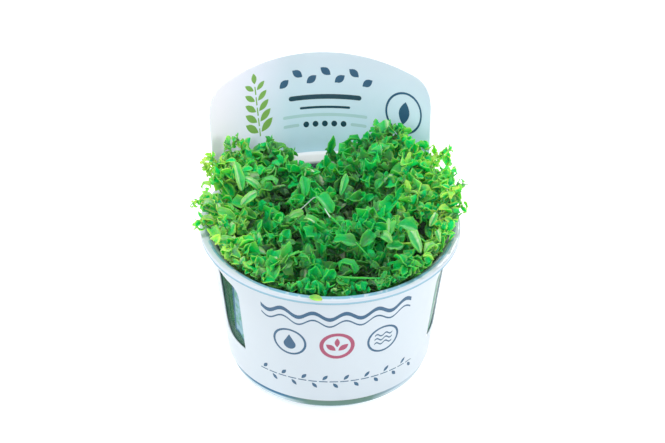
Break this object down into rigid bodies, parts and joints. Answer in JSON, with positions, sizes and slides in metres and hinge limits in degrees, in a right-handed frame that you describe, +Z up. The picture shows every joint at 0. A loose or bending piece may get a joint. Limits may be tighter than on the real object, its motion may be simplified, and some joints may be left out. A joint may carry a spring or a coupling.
{
  "type": "potted pearlweed",
  "caption": "Pearlweed in a clear tapered culture cup with a printed sleeve, side windows and a tall back tab; small bright green leaves fill it and hang over the rim.",
  "frame": {"origin": "centre of the cup's flat foot, on the surface that it stands on", "axes": "+Z up, -Y towards the front of the sleeve, +Y towards the tall back tab"},
  "size_m": [0.102, 0.1086, 0.102],
  "materials": {
    "clear_plastic": "gloss",
    "printed_label": "satin",
    "gel": "gloss",
    "stem": "matte",
    "leaf": "satin"
  },
  "bodies": {
    "root": {"cup": "clear_plastic", "label_sleeve": "printed_label", "nutrient_gel": "gel", "stem_tangle": "stem", "plantlet_01": "leaf", "plantlet_02": "leaf", "plantlet_03": "leaf", "plantlet_04": "leaf", "plantlet_05": "leaf", "plantlet_06": "leaf", "plantlet_07": "leaf", "plantlet_08": "leaf", "plantlet_09": "leaf", "plantlet_10": "leaf", "plantlet_11": "leaf", "plantlet_12": "leaf", "plantlet_13": "leaf", "plantlet_14": "leaf", "plantlet_15": "leaf", "plantlet_16": "leaf", "plantlet_17": "leaf", "plantlet_18": "leaf", "plantlet_19": "leaf", "plantlet_20": "leaf", "plantlet_21": "leaf", "plantlet_22": "leaf", "plantlet_23": "leaf", "plantlet_24": "leaf", "plantlet_25": "leaf", "plantlet_26": "leaf", "plantlet_27": "leaf", "plantlet_28": "leaf", "plantlet_29": "leaf", "plantlet_30": "leaf", "plantlet_31": "leaf", "plantlet_32": "leaf", "plantlet_33": "leaf", "plantlet_34": "leaf", "plantlet_35": "leaf", "plantlet_36": "leaf", "plantlet_37": "leaf", "rim_leaf": "leaf"}
  },
  "joints": []
}
